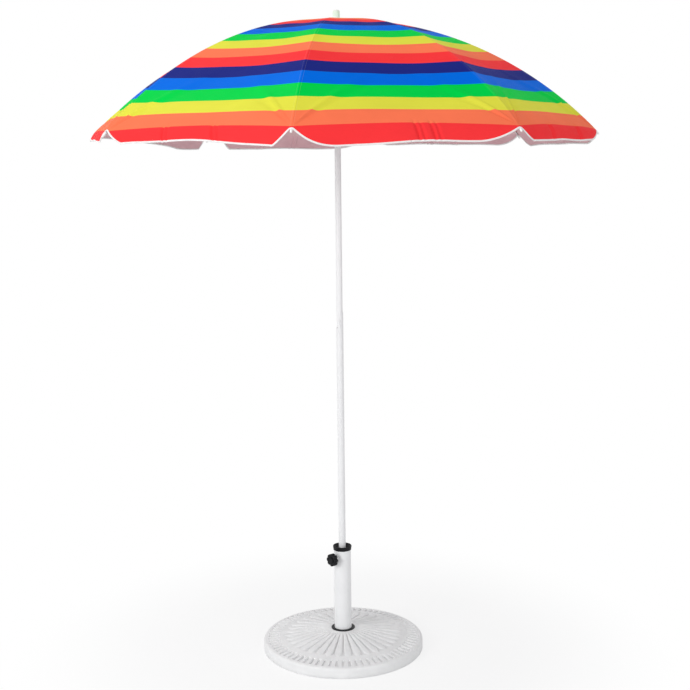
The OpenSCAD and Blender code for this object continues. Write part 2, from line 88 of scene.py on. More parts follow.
# Folds that run from a rib's end into the gore: their reach, their angle to the rib and its spread,
# their width as an angle, their height and the distance from the rib's end at which they are highest
FOLD_REACH = 0.32
FOLD_LEAN = 0.56
FOLD_LEAN_SPREAD = 0.1
FOLD_W = 0.07
FOLD_RISE = 0.0032
FOLD_PEAK = 0.07
# The valley beside each fold: its angle to the fold, its width as an angle, its share of the fold's height
VALLEY_TURN = 0.17
VALLEY_W = 0.09
VALLEY_SHARE = 0.8
# The flap: where it starts along the cloth, and how far it swings in and out
FLAP_START = RIB_LEN - 0.03
FLAP_SWING = 0.0035
# How far past a rib's end the hem reaches over its tip, and where it falls short of that
TIP_COVER = 0.008
SHORT_COVER = {8: -0.003}
# How far the hem runs level on each side of a tip, how high its waves are, and the width of its tape
HEM_LEVEL = 0.0035
HEM_WAVE = 0.0012
HEM_TAPE_W = 0.0038
FLAP_ROWS = 16
HALF_COLUMNS = 64
# The cloth is cut at band edges into rings:
# the number of bands below each cut, the rows of each ring, and the share of its width that it keeps
RING_CUTS = (12, 10, 8, 6)
RING_ROWS = (16, 12, 14, 14, 46)
RING_KEEPS = (0.56, 0.43, 0.315, 0.235, 0.175)
LAST_RING = len(RING_KEEPS) - 1
# How strongly the last ring's rows crowd towards the flap
ROW_CROWDING = 1.3
# The seam's pocket round a rib: depth of the rib's middle under the cloth, the pocket's radius, its start,
# its distance from the rib's end, how far round it reaches each way, and how far of that it is striped
RIB_DEPTH = 0.0032
SLEEVE_R = 0.0034
SLEEVE_START = 0.05
SLEEVE_END_GAP = 0.012
SLEEVE_REACH = math.radians(95)
SLEEVE_STRIPED = math.radians(65)
SLEEVE_ROWS = 110
SLEEVE_HALF_STEPS = 9
# An edge of the cloth is drawn sharp where its faces turn by more than this
CLOTH_SHARP = math.radians(60)

# Sizes of the stand, in metres, as in the part's source
BASE_R = 0.255
RIM_H = 0.034
HUB_H = 0.063
HUB_R = 0.046
RIM_ROUND = 0.008
BASE_BEVEL = 0.002
TUBE_R = 0.0275
TUBE_FOOT = 0.037
TUBE_TOP = 0.324
CLAMP_DEPTH = 0.024
BOLT_R = 0.005
BOLT_POCKET_R = 0.017
BOLT_POCKET_H = 0.012
PETALS = 36
TICKS = 2 * PETALS
PETAL_TURN = math.radians(8)

# Petals on the base: from where to where they run, the length of their round tips, half their width as a
# share of their spacing and how much of that share they lose outwards, the length over which they rise,
# the height of their crowns and the depth of the grooves between them
PETAL_START = HUB_R + 0.003
PETAL_END = 0.73 * BASE_R
PETAL_TIP = 0.022
PETAL_FILL = 0.45
PETAL_TAPER = 0.09
PETAL_RISE = 0.012
PETAL_CROWN = 0.0020
GROOVE_DEPTH = 0.0050
# Ticks near the base's rim
TICK_START = 0.815 * BASE_R
TICK_END = 0.943 * BASE_R
TICK_HALF_W = 0.0036
TICK_DEPTH = 0.0060

# The clamp's knob: its lobes with their depth as a share of the radius and their fullness, its radius,
# thickness and bore, its distance from the tube and the way it points
KNOB_LOBES = 8
LOBE_DEPTH = 0.16
LOBE_FULLNESS = 0.7
KNOB_R = 0.0205
KNOB_T = 0.015
KNOB_BORE_R = 0.0043
KNOB_GAP = 0.012
KNOB_HEADING = math.radians(-90 - 34)

# Camera, from the photograph
CAMERA_AZIMUTH = math.radians(8.03)
CAMERA_PITCH = math.radians(8.78)
CAMERA_ROLL = math.radians(-0.62)
CAMERA_DISTANCE = 3.671
CAMERA_HEIGHT = 1.549
CAMERA_SIDE = 0.0156
CAMERA_LENS = 62.43
SENSOR_W = 36

# Light from all round, and each lamp's name, place, target, diameter and power in watts
AMBIENT_COLOUR = (0.96, 0.98, 1.0, 1)
AMBIENT_STRENGTH = 0.58
LAMPS = (
    ("key", (-3.2, -4.4, 2.4), (0, 0, 1.2), 2.6, 125),
    ("fill", (3.6, -3.2, 1.9), (0, 0, 1.0), 2.6, 38),
    ("top", (-0.4, -1.2, 4.6), (0, 0, 1.8), 2.6, 15),
    ("back", (-2.3, 1.3, 4.9), (-0.2, -0.3, 1.8), 1.4, 32),
)


def rib_direction(index):
    """Level direction of a rib, the first along -Y and the others every 45 degrees towards +X."""
    angle = -math.pi / 2 + RIB_STEP * (index - 1)
    return Vector((math.cos(angle), math.sin(angle), 0))


def wobble(seed):
    """A repeatable number between -1 and 1, from the far digits of a sine."""
    value = math.sin(seed * 12.9898 + 4.1414) * 43758.5453
    return 2 * (value - math.floor(value)) - 1


def clamp(value):
    """The value, held between 0 and 1."""
    return min(1.0, max(0.0, value))


def bell(value, width):
    """A smooth bump that is 1 at zero and fades out within about twice the width."""
    return math.exp(-(value / width) ** 2)


def wave(turns):
    return math.sin(math.tau * turns)


# Materials

# Noise lies mostly between these values, so a colour changes between them
NOISE_MIDDLE = (0.3, 0.7)


def new_material(name, colour, roughness, metallic=0.0):
    material = bpy.data.materials.new(name)
    material.use_nodes = True
    shader = material.node_tree.nodes["Principled BSDF"]
    shader.inputs["Base Color"].default_value = (*colour, 1)
    shader.inputs["Roughness"].default_value = roughness
    shader.inputs["Metallic"].default_value = metallic
    return material, shader


def add_node(owner, kind, **values):
    """A new node of a material or of the world."""
    node = owner.node_tree.nodes.new(kind)
    for key, value in values.items():
        setattr(node, key, value)
    return node


def link(owner, source, target):
    owner.node_tree.links.new(source, target)


def math_node(owner, operation, first, second=None):
    """A Math node whose inputs are sockets or plain numbers."""
    node = add_node(owner, "ShaderNodeMath", operation=operation)
    for slot, value in zip(node.inputs, (first, second)):
        if value is None:
            continue
        if isinstance(value, (int, float)):
            slot.default_value = value
        else:
            link(owner, value, slot)
    return node.outputs[0]


def object_noise(material, scale, detail=3.0, stretch=(1, 1, 1)):
    """Noise that is fixed to the object, in one over metres, drawn out along some axes."""
    place = add_node(material, "ShaderNodeTexCoord")
    mapping = add_node(material, "ShaderNodeMapping")
    mapping.inputs["Scale"].default_value = stretch
    noise = add_node(material, "ShaderNodeTexNoise")
    noise.inputs["Scale"].default_value = scale
    noise.inputs["Detail"].default_value = detail
    link(material, place.outputs["Object"], mapping.inputs["Vector"])
    link(material, mapping.outputs["Vector"], noise.inputs["Vector"])
    return noise.outputs["Fac"]


def map_range(material, factor, low, high):
    span = add_node(material, "ShaderNodeMapRange")
    span.inputs["To Min"].default_value = low
    span.inputs["To Max"].default_value = high
    link(material, factor, span.inputs["Value"])
    return span.outputs["Result"]


def noise_colour(material, factor, dark, light):
    """A colour that goes from dark to light with a noise."""
    ramp = add_node(material, "ShaderNodeValToRGB")
    for stop, position, colour in zip(ramp.color_ramp.elements, NOISE_MIDDLE, (dark, light)):
        stop.position = position
        stop.color = (*colour, 1)
    link(material, factor, ramp.inputs["Fac"])
    return ramp.outputs["Color"]


def vary_roughness(material, shader, factor, low, high):
    link(material, map_range(material, factor, low, high), shader.inputs["Roughness"])


def add_bump(material, shader, height, strength, distance):
    bump = add_node(material, "ShaderNodeBump")
    bump.inputs["Strength"].default_value = strength
    bump.inputs["Distance"].default_value = distance
    link(material, height, bump.inputs["Height"])
    link(material, bump.outputs["Normal"], shader.inputs["Normal"])


def plain_material(name, colour, roughness, stains, dark, light, smudges, rough_range, grain, relief,
                   metallic=0.0, sockets=None):
    """A material of one colour, a little stained and smudged, with a fine grain.

    Stains, smudges and grain are each the scale, detail and stretch of a noise. Relief is the strength
    and depth of the grain. Sockets are values of the shader that are even all over.
    """
    material, shader = new_material(name, colour, roughness, metallic)
    for socket, value in (sockets or {}).items():
        shader.inputs[socket].default_value = value
    stained = noise_colour(material, object_noise(material, *stains), dark, light)
    link(material, stained, shader.inputs["Base Color"])
    vary_roughness(material, shader, object_noise(material, *smudges), *rough_range)
    add_bump(material, shader, object_noise(material, *grain), *relief)
    return material


# Colours of the bands from the hem upwards
BAND_COLOURS = (
    (0.93, 0.040, 0.045),
    (0.96, 0.185, 0.085),
    (0.73, 0.71, 0.060),
    (0.0, 0.61, 0.065),
    (0.0, 0.140, 0.71),
    (0.012, 0.020, 0.20),
)
# How unevenly the dye took
DYE_SPREAD = 0.07
# Size of a thread, heights of the weave and of the crumples as shares of the bump's depth, and the bump's
# strength and depth
THREAD = 0.0012
WEAVE_RELIEF = 0.15
CRUMPLE_RELIEF = 2.2
CLOTH_BUMP = (0.25, 0.0012)
# The two rows of stitches beside a rib's seam: distance from it, half a thread's width, stitches in a metre,
# the share of each that lies on top, and how much its colour shows
STITCH_OFF = 0.0045
STITCH_HALF_W = 0.0005
STITCHES_PER_METRE = 250.0
STITCH_SHARE = 0.62
STITCH_SHOW = 0.15
STITCH_COLOUR = (0.62, 0.58, 0.54, 1)


def cloth_coordinates(material):
    """Distance from the rib's seam, and distance up the cloth from the rib's end, in metres."""
    layer = add_node(material, "ShaderNodeUVMap", uv_map="cloth")
    parts = add_node(material, "ShaderNodeSeparateXYZ")
    link(material, layer.outputs["UV"], parts.inputs["Vector"])
    return parts.outputs["X"], parts.outputs["Y"]


def woven_height(material, across, along):
    """Height of a plain weave with threads running both ways, and of soft crumples."""
    turns = math.tau / THREAD
    warp = math_node(material, "SINE", math_node(material, "MULTIPLY", across, turns))
    weft = math_node(material, "SINE", math_node(material, "MULTIPLY", along, turns))
    weave = math_node(material, "MULTIPLY", warp, weft)
    weave = math_node(material, "MULTIPLY", weave, WEAVE_RELIEF)
    crumples = math_node(material, "MULTIPLY", object_noise(material, scale=22, detail=4), CRUMPLE_RELIEF)
    return math_node(material, "ADD", weave, crumples)


def stitch_mask(material, across, along):
    """1 on the thread of the two rows of stitches beside a rib's seam."""
    offset = math_node(material, "SUBTRACT", math_node(material, "ABSOLUTE", across), STITCH_OFF)
    on_row = math_node(material, "LESS_THAN", math_node(material, "ABSOLUTE", offset), STITCH_HALF_W)
    pace = math_node(material, "FRACT", math_node(material, "MULTIPLY", along, STITCHES_PER_METRE))
    on_stitch = math_node(material, "LESS_THAN", pace, STITCH_SHARE)
    return math_node(material, "MULTIPLY", on_row, on_stitch)


def band_colour(material, along):
    """Colour of the band at a distance up the cloth, the six colours coming again and again."""
    cycle = math_node(material, "MULTIPLY", along, 1 / (len(BAND_COLOURS) * BAND_W))
    cycle = math_node(material, "FRACT", math_node(material, "ADD", cycle, 1 / len(BAND_COLOURS)))
    ramp = add_node(material, "ShaderNodeValToRGB")
    ramp.color_ramp.interpolation = "CONSTANT"
    stops = ramp.color_ramp.elements
    for index, colour in enumerate(BAND_COLOURS):
        stop = stops[index] if index < 2 else stops.new(index / len(BAND_COLOURS))
        stop.position = index / len(BAND_COLOURS)
        stop.color = (*colour, 1)
    link(material, cycle, ramp.inputs["Fac"])
    return ramp.outputs["Color"]


def striped_cloth_material():
    """Woven polyester printed in bands that run parallel to the hem."""
    material, shader = new_material("striped_cloth", BAND_COLOURS[0], roughness=0.62)
    shader.inputs["Specular IOR Level"].default_value = 0.008
    across, along = cloth_coordinates(material)
    dyed = add_node(material, "ShaderNodeHueSaturation")
    blotches = object_noise(material, scale=9, detail=5)
    link(material, map_range(material, blotches, 1 - DYE_SPREAD, 1 + DYE_SPREAD), dyed.inputs["Value"])
    link(material, band_colour(material, along), dyed.inputs["Color"])
    stitched = add_node(material, "ShaderNodeMix", data_type="RGBA")
    stitch = stitch_mask(material, across, along)
    link(material, math_node(material, "MULTIPLY", stitch, STITCH_SHOW), stitched.inputs["Factor"])
    link(material, dyed.outputs["Color"], stitched.inputs["A"])
    stitched.inputs["B"].default_value = STITCH_COLOUR
    link(material, stitched.outputs["Result"], shader.inputs["Base Color"])
    vary_roughness(material, shader, object_noise(material, scale=25, detail=4), low=0.42, high=0.56)
    raised = math_node(material, "ADD", woven_height(material, across, along), stitch)
    add_bump(material, shader, raised, *CLOTH_BUMP)
    return material


def cloth_back_material(name, print_and_painted_light_share):
    """Lilac-grey coating on the cloth's underside, with the band colours mixed in by some share: partly the
    print seen through the thin coat, partly painted light that shines through the cloth from outside.
    """
    material, shader = new_material(name, (0.60, 0.49, 0.54), roughness=0.5)
    shader.inputs["Specular IOR Level"].default_value = 0.25
    across, along = cloth_coordinates(material)
    blotches = object_noise(material, scale=12, detail=5)
    coat = noise_colour(material, blotches, dark=(0.64, 0.535, 0.58), light=(0.72, 0.615, 0.655))
    # Painted light: the band colours mixed into the coating stand partly for daylight shining through the
    # cloth
    through = add_node(material, "ShaderNodeMix", data_type="RGBA")
    through.inputs["Factor"].default_value = print_and_painted_light_share
    link(material, coat, through.inputs["A"])
    link(material, band_colour(material, along), through.inputs["B"])
    link(material, through.outputs["Result"], shader.inputs["Base Color"])
    vary_roughness(material, shader, object_noise(material, scale=40, detail=4), low=0.42, high=0.6)
    add_bump(material, shader, woven_height(material, across, along), *CLOTH_BUMP)
    return material


# White paint with a fine orange peel and faint rubbing
PAINT = plain_material(
    "white_paint", colour=(0.83, 0.83, 0.84), roughness=0.32,
    stains=(14, 5), dark=(0.81, 0.81, 0.815), light=(0.86, 0.86, 0.865),
    smudges=(60,), rough_range=(0.26, 0.42),
    grain=(900, 2), relief=(0.12, 0.0004),
    sockets={"Coat Weight": 0.25, "Coat Roughness": 0.2},
)
# White cast resin and concrete, a little chalky, with pores
RESIN = plain_material(
    "cast_resin", colour=(0.84, 0.84, 0.84), roughness=0.6,
    stains=(30, 6), dark=(0.80, 0.80, 0.80), light=(0.86, 0.86, 0.86),
    smudges=(120, 4), rough_range=(0.45, 0.7),
    grain=(450, 4), relief=(0.25, 0.0006),
)
# Moulded black plastic with a fine spark-eroded grain
BLACK_PLASTIC = plain_material(
    "black_plastic", colour=(0.009, 0.009, 0.011), roughness=0.42,
    stains=(90, 4), dark=(0.004, 0.004, 0.005), light=(0.010, 0.0105, 0.0125),
    smudges=(200,), rough_range=(0.34, 0.52),
    grain=(1600, 2), relief=(0.2, 0.0003),
    sockets={"Specular IOR Level": 0.16},
)
# Moulded white plastic, slightly warm
WHITE_PLASTIC = plain_material(
    "white_plastic", colour=(0.84, 0.835, 0.82), roughness=0.38,
    stains=(70, 4), dark=(0.81, 0.805, 0.785), light=(0.87, 0.865, 0.85),
    smudges=(180,), rough_range=(0.3, 0.48),
    grain=(1300, 2), relief=(0.12, 0.0003),
)
# Plated steel with drawing marks
STEEL = plain_material(
    "plated_steel", colour=(0.62, 0.62, 0.64), roughness=0.3,
    stains=(40, 5), dark=(0.54, 0.54, 0.56), light=(0.68, 0.68, 0.70),
    smudges=(250, 3, (1, 1, 0.15)), rough_range=(0.22, 0.42),
    grain=(2200, 2, (1, 1, 0.1)), relief=(0.1, 0.0002),
    metallic=1.0,
)
STRIPED_CLOTH = striped_cloth_material()
# The underside and the seam's sides: band colours mixed in, partly print seen through the coat, partly
# painted light shining through the cloth
CLOTH_BACK = cloth_back_material("coated_back", print_and_painted_light_share=0.22)
SEAM_SIDE = cloth_back_material("seam_side", print_and_painted_light_share=0.70)
# White cotton tape
HEM_TAPE = plain_material(
    "hem_tape", colour=(0.83, 0.81, 0.80), roughness=0.75,
    stains=(60, 4), dark=(0.78, 0.76, 0.75), light=(0.87, 0.855, 0.845),
    smudges=(90,), rough_range=(0.68, 0.85),
    grain=(1100, 2), relief=(0.4, 0.0004),
)
SLOT_MATERIALS = {
    "pole_paint": PAINT,
    "base_resin": RESIN,
    "black_plastic": BLACK_PLASTIC,
    "white_plastic": WHITE_PLASTIC,
    "bright_steel": STEEL,
    "canopy_cloth": STRIPED_CLOTH,
}


# Mesh helpers

def make_object(name, points, faces, materials, face_materials=None):
    mesh = bpy.data.meshes.new(name)
    mesh.from_pydata(points, [], faces)
    for material in materials:
        mesh.materials.append(material)
    if face_materials:
        mesh.polygons.foreach_set("material_index", face_materials)
    mesh.polygons.foreach_set("use_smooth", [True] * len(mesh.polygons))
    mesh.update()
    piece = bpy.data.objects.new(name, mesh)
    bpy.context.scene.collection.objects.link(piece)
    return piece


def sharpen(piece, angle):
    """Marks an edge sharp where two materials meet, or where its faces turn by more than an angle."""
    bm = bmesh.new()
    bm.from_mesh(piece.data)
    for edge in bm.edges:
        pair = edge.link_faces
        if len(pair) != 2:
            continue
        parted = pair[0].material_index != pair[1].material_index
        if parted or edge.calc_face_angle(0) > angle:
            edge.smooth = False
    bm.to_mesh(piece.data)
    bm.free()


def ring_faces(rows, columns, closed_rows=False):
    """Faces of a grid of rows that each run round in a ring."""
    faces = []
    last = rows if closed_rows else rows - 1
    for row in range(last):
        for column in range(columns):
            beside = (column + 1) % columns
            above = (row + 1) % rows
            faces.append((row * columns + column, row * columns + beside,
                          above * columns + beside, above * columns + column))
    return faces


def capped_faces(rows, columns):
    """Faces of a grid of rings, with a cap on its first and last ring."""
    faces = ring_faces(rows, columns)
    faces.append(tuple(range(columns - 1, -1, -1)))
    faces.append(tuple(range((rows - 1) * columns, rows * columns)))
    return faces


def sheet_faces(rows, width):
    """Faces of a sheet with an outer and an inner side and a border between them, and their materials."""
    count = rows * width
    faces = []
    kinds = []
    for row in range(rows - 1):
        for column in range(width - 1):
            a = row * width + column
            b = a + width
            faces.append((a, b, b + 1, a + 1))
            faces.append((a + count, a + 1 + count, b + 1 + count, b + count))
            kinds.extend((0, 1))
    border = [row * width for row in range(rows)]
    border += [(rows - 1) * width + column for column in range(1, width)]
    border += [row * width + width - 1 for row in range(rows - 2, -1, -1)]
    border += list(range(width - 2, 0, -1))
    for start, end in zip(border, border[1:] + border[:1]):
        faces.append((end, start, start + count, end + count))
        kinds.append(0)
    return faces, kinds


def finish_piece(piece, body, slot, *nodes):
    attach(piece, body)
    if nodes:
        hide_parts(*nodes)


# Canopy

@lru_cache(maxsize=None)
def rib_profile(s):
    """Radius, height and slope of the cloth at a rib, at a length along it from the pole's axis."""
    if s <= ARC_1_LEN:
        slope = s / ARC_1_R
        return ARC_1_R * math.sin(slope), CANOPY_TOP - ARC_1_R * (1 - math.cos(slope)), slope
    if s <= RIB_LEN:
        slope = BEND_SLOPE + (s - ARC_1_LEN) / ARC_2_R
        radius = BEND_R + ARC_2_R * (math.sin(slope) - math.sin(BEND_SLOPE))
        return radius, BEND_Z - ARC_2_R * (math.cos(BEND_SLOPE) - math.cos(slope)), slope
    rolled = min(s - RIB_LEN, ROLL_LEN)
    hanging = s - RIB_LEN - rolled
    slope = END_SLOPE + (FLAP_SLOPE - END_SLOPE) * rolled / ROLL_LEN
    roll_r = ROLL_LEN / (FLAP_SLOPE - END_SLOPE)
    radius = CANOPY_R + roll_r * (math.sin(slope) - math.sin(END_SLOPE)) + hanging * math.cos(slope)
    height = RIB_END_Z - roll_r * (math.cos(END_SLOPE) - math.cos(slope)) - hanging * math.sin(slope)
    return radius, height, slope


def gore_chord(s):
    """Straight distance between two neighbouring ribs, at a length along them."""
    return 2 * rib_profile(s)[0] * math.sin(HALF_STEP)


@lru_cache(maxsize=None)
def mid_gore_length(s, steps=12):
    """Length along the middle of a gore from the rib ends' level up to the row at s."""
    total = 0.0
    radius, height, _ = rib_profile(RIB_LEN)
    for step in range(1, steps + 1):
        next_radius, next_height, _ = rib_profile(RIB_LEN + (s - RIB_LEN) * step / steps)
        total += math.hypot((next_radius - radius) * math.cos(HALF_STEP), next_height - height)
        radius, height = next_radius, next_height
    return total if s <= RIB_LEN else -total


# Start, width and fullness of the flap's corner at a gore's two ends, where the photograph shows them
CORNERS = {
    (8, 0): (0.0, 0.068, 1.2),
    (8, 1): (0.0, 0.046, 1.1),
    (1, 0): (0.0, 0.120, 2.2),
    (1, 1): (0.0, 0.115, 2.0),
    (2, 0): (0.0, 0.055, 1.3),
    (2, 1): (0.0, 0.100, 1.6),
    (5, 1): (0.050, 0.030, 1.3),
    (6, 0): (0.010, 0.025, 1.2),
    (6, 1): (0.0, 0.430, 0.76),
    (7, 0): (0.0, 0.060, 1.4),
    (7, 1): (0.0, 0.020, 1.2),
}
# Depth of the flap at a gore's first rib, middle and last rib, as shares of its full depth
FLAP_DEPTH = {
    1: (1.36, 1.03, 0.95),
    2: (1.00, 0.88, 0.88),
    4: (1.00, 0.80, 0.72),
    6: (0.93, 0.90, 0.60),
    7: (0.42, 0.55, 0.72),
    8: (0.95, 0.81, 1.27),
}
# Places of the pinched creases in the flap, as shares of the gore's width
CREASES = {8: (0.34, 0.605), 1: (0.52, 0.59), 2: (0.30, 0.66)}
# Each is a pair this far apart, leaning this far down to the hem, both as shares of the gore's width
CREASE_GAP = 0.024
CREASE_LEAN = 0.02
# Width and depths of the pair, where it starts, and the part of a half wave that its depth runs through
CREASE_W = 0.0042
CREASE_DEPTHS = (0.0052, 0.0036)
CREASE_START = RIB_LEN - 0.012
CREASE_WAVE = 0.85


def flap_corner(gore, end):
    """A flap's corner at one end of a gore, which differs from gore to gore where no photograph shows it."""
    width = 0.085 + 0.025 * wobble(gore + 10 * end)
    fullness = 1.7 + 0.4 * wobble(3 * gore + end)
    return CORNERS.get((gore, end), (0.0, width, fullness))


def crease_places(gore):
    usual = (0.35 + 0.1 * wobble(gore), 0.63 + 0.1 * wobble(gore + 20))
    return CREASES.get(gore, usual)


def flap_depth(gore, share):
    """Depth of the flap, on a smooth curve through its depths at a gore's two ribs and middle."""
    first, middle, last = FLAP_DEPTH.get(gore, (1.0, 0.94 + 0.06 * wobble(gore), 1.0))
    curve = first * (1 - share) * (1 - 2 * share) + last * share * (2 * share - 1)
    return FLAP_LEN * (curve + 4 * middle * share * (1 - share))


def tip_cover(rib):
    return SHORT_COVER.get(rib, TIP_COVER)


def hem_at(gore, share):
    """Length along the cloth of the hem, at a share of the gore's width."""
    drops = []
    cover = tip_cover(gore) * (1 - share) + tip_cover(gore % RIBS + 1) * share
    for end, off in ((0, share), (1, 1 - share)):
        start, width, fullness = flap_corner(gore, end)
        reach = clamp((off * CHORD_END - start - HEM_LEVEL) / width)
        drops.append(1 - (1 - reach) ** fullness)
    waves = HEM_WAVE * wave(2.5 * share + 0.3 * gore)
    return RIB_LEN + cover + (flap_depth(gore, share) - cover + waves) * min(drops)


def fold_relief(gore, share, s):
    """Height of the folds that run up the cloth from the rib ends."""
    up = RIB_LEN - s
    relief = 0.0
    if up < 0:
        return relief
    for end, off in ((0, share), (1, 1 - share)):
        side = off * gore_chord(s)
        distance = math.hypot(side, up)
        if distance > FOLD_REACH:
            continue
        lean = FOLD_LEAN + FOLD_LEAN_SPREAD * wobble(5 * gore + end)
        turn = math.atan2(side, up) - lean
        ridge = bell(turn, FOLD_W) - VALLEY_SHARE * bell(turn - VALLEY_TURN, VALLEY_W)
        relief += FOLD_RISE * ridge * distance / FOLD_PEAK * math.exp(1 - distance / FOLD_PEAK)
    return relief


def crease_depth(gore, share, s):
    """Depth of the creases where the flap is pinched by its thread."""
    down = clamp((s - CREASE_START) / (RIB_LEN + FLAP_LEN - CREASE_START))
    total = 0.0
    for place in crease_places(gore):
        for shift, depth in zip((0.0, CREASE_GAP), CREASE_DEPTHS):
            side = (share - place - shift - CREASE_LEAN * down) * gore_chord(s)
            total += depth * bell(side, CREASE_W)
    return total * math.sin(math.pi * CREASE_WAVE * down)


def cloth_relief(gore, share, s):
    """How far the cloth stands out from the straight line between two ribs."""
    hang = clamp((s - FLAP_START) / (RIB_LEN + FLAP_LEN - FLAP_START))
    slack = -SAG * math.sin(math.pi * min(s / RIB_LEN, 1.0) ** 2)
    slack += HEM_BULGE * bell(RIB_LEN - s, HEM_BULGE_REACH)
    uneven = wave(1.5 * share + 3.1 * s + 0.37 * gore) * wave(2.7 * s + 0.21 * gore)
    slack += RIPPLE * uneven * min(1.0, s / RIPPLE_GROWTH)
    slack += FLAP_SWING * hang ** 2 * wave(1.6 * share + 0.43 * gore)
    between = 4 * share * (1 - share)
    return slack * between + fold_relief(gore, share, s) - crease_depth(gore, share, s)


def cloth_point(gore, share, s):
    """Point on the cloth's outer face and the way out of it."""
    radius, height, slope = rib_profile(s)
    first = rib_direction(gore)
    second = rib_direction(gore + 1)
    steep = math.atan2(math.sin(slope), math.cos(slope) * math.cos(HALF_STEP))
    outward = (first + second).normalized() * math.sin(steep) + UP * math.cos(steep)
    level = first * (1 - share) + second * share
    return level * radius + UP * height + outward * cloth_relief(gore, share, s), outward


def half_shares(gore, end):
    """Places of the columns from a rib to the middle of a gore, closer at the rib and the creases."""
    step = 0.004
    margin = 3 * step
    closest = 0.3 * step
    crowding = 1.15
    zones = []
    for place in crease_places(gore):
        first = place - margin
        last = place + CREASE_GAP + CREASE_LEAN + margin
        zones.append((first, last) if end == 0 else (1 - last, 1 - first))
    places = [0.5 * (column / HALF_COLUMNS) ** crowding for column in range(HALF_COLUMNS)]
    places = [place for place in places if not any(first < place < last for first, last in zones)]
    for first, last in zones:
        count = int((last - first) / step)
        places += [first + step * index for index in range(count + 1)]
    shares = []
    for place in sorted(places):
        if not shares or shares[-1] + closest < place < 0.5 - closest:
            shares.append(place)
    return shares + [0.5]


def rib_columns(rib):
    """Gore, share of its width and side of the rib, -1 or 1, for each column of a rib's cloth."""
    before = (rib - 2) % RIBS + 1
    columns = [(before, 1 - share, -1) for share in reversed(half_shares(before, 1)[1:])]
    return columns + [(rib, share, 1) for share in half_shares(rib, 0)]


def seam_outward(rib, s):
    slope = rib_profile(s)[2]
    return rib_direction(rib) * math.sin(slope) + UP * math.cos(slope)


def band_edge(bands):
    """Length along the rib of the row that lies a number of bands above the rib's end."""
    halvings = 30
    low = 0.0
    high = RIB_LEN
    for _ in range(halvings):
        middle = (low + high) / 2
        if mid_gore_length(middle) > bands * BAND_W:
            low = middle
        else:
            high = middle
    return low


@lru_cache(maxsize=None)
def ring_ends(ring):
    """Lengths along the rib at a ring's upper and lower edge, the last ring's down to its flap."""
    start = ARC_1_R * math.asin(CLOTH_HOLE_R / ARC_1_R)
    edges = [start] + [band_edge(bands) for bands in RING_CUTS] + [FLAP_START]
    return edges[ring], edges[ring + 1]


def row_lengths(ring, gore, share):
    """Lengths along the cloth of a ring's rows: even, or closer towards the flap, then down to the hem."""
    start, end = ring_ends(ring)
    rows = RING_ROWS[ring]
    crowding = ROW_CROWDING if ring == LAST_RING else 1.0
    lengths = [start + (end - start) * (1 - (1 - row / rows) ** crowding) for row in range(rows + 1)]
    if ring == LAST_RING:
        drop = hem_at(gore, share) - end
        lengths += [end + drop * row / FLAP_ROWS for row in range(1, FLAP_ROWS + 1)]
    return lengths


def mark_cloth(piece, places):
    """Gives each point of a cloth piece its place on the print, and keeps its edges crisp."""
    layer = piece.data.uv_layers.new(name="cloth")
    for loop in piece.data.loops:
        layer.data[loop.index].uv = places[loop.vertex_index]
    sharpen(piece, CLOTH_SHARP)


def build_cloth(rib, ring):
    """A ring's cloth on both sides of one rib, out to the middle of the gores, with its two faces."""
    columns = rib_columns(rib)
    lengths = [row_lengths(ring, gore, share) for gore, share, _ in columns]
    rows = len(lengths[0])
    outer = []
    inner = []
    places = []
    for row in range(rows):
        for column, (gore, share, side) in enumerate(columns):
            s = lengths[column][row]
            point, outward = cloth_point(gore, share, s)
            if share == 0:
                outward = seam_outward(rib, s)
            off = (share if side > 0 else share - 1) * gore_chord(s)
            outer.append(point)
            inner.append(point - outward * CLOTH_T)
            places.append((off, mid_gore_length(s)))
    faces, kinds = sheet_faces(rows, len(columns))
    name = f"cloth_{rib}_{ring + 1}"
    piece = make_object(name, outer + inner, faces, (STRIPED_CLOTH, CLOTH_BACK), kinds)
    mark_cloth(piece, places + places)
    return piece


def build_sleeve(rib):
    """The seam's pocket round the outer side of a rib, open below."""
    end = RIB_LEN - SLEEVE_END_GAP
    across = UP.cross(rib_direction(rib))
    steps = range(-SLEEVE_HALF_STEPS, SLEEVE_HALF_STEPS + 1)
    angles = [SLEEVE_REACH * step / SLEEVE_HALF_STEPS for step in steps]
    ring = [(SLEEVE_R, angle) for angle in angles]
    ring += [(SLEEVE_R - CLOTH_T, angle) for angle in reversed(angles)]
    points = []
    places = []
    for row in range(SLEEVE_ROWS + 1):
        s = SLEEVE_START + (end - SLEEVE_START) * row / SLEEVE_ROWS
        radius, height, _ = rib_profile(s)
        outward = seam_outward(rib, s)
        centre = rib_direction(rib) * radius + UP * height - outward * RIB_DEPTH
        for r, angle in ring:
            points.append(centre + (across * math.sin(angle) + outward * math.cos(angle)) * r)
            places.append((SLEEVE_R * angle, mid_gore_length(s)))
    width = len(ring)
    outer_faces = len(angles) - 1
    faces = ring_faces(SLEEVE_ROWS + 1, width)
    kinds = []
    for index in range(len(faces)):
        column = index % width
        striped = column < outer_faces and abs(angles[column] + angles[column + 1]) < 2 * SLEEVE_STRIPED
        kinds.append(0 if striped else 1)
    # The two open ends of the cloth that the pocket is made of
    for first in (0, SLEEVE_ROWS * width):
        for step in range(outer_faces):
            a = first + step
            b = first + width - 1 - step
            faces.append((a, a + 1, b - 1, b) if first else (b, b - 1, a + 1, a))
            kinds.append(1)
    piece = make_object(f"rib_sleeve_{rib}", points, faces, (STRIPED_CLOTH, SEAM_SIDE), kinds)
    mark_cloth(piece, places)
    return piece


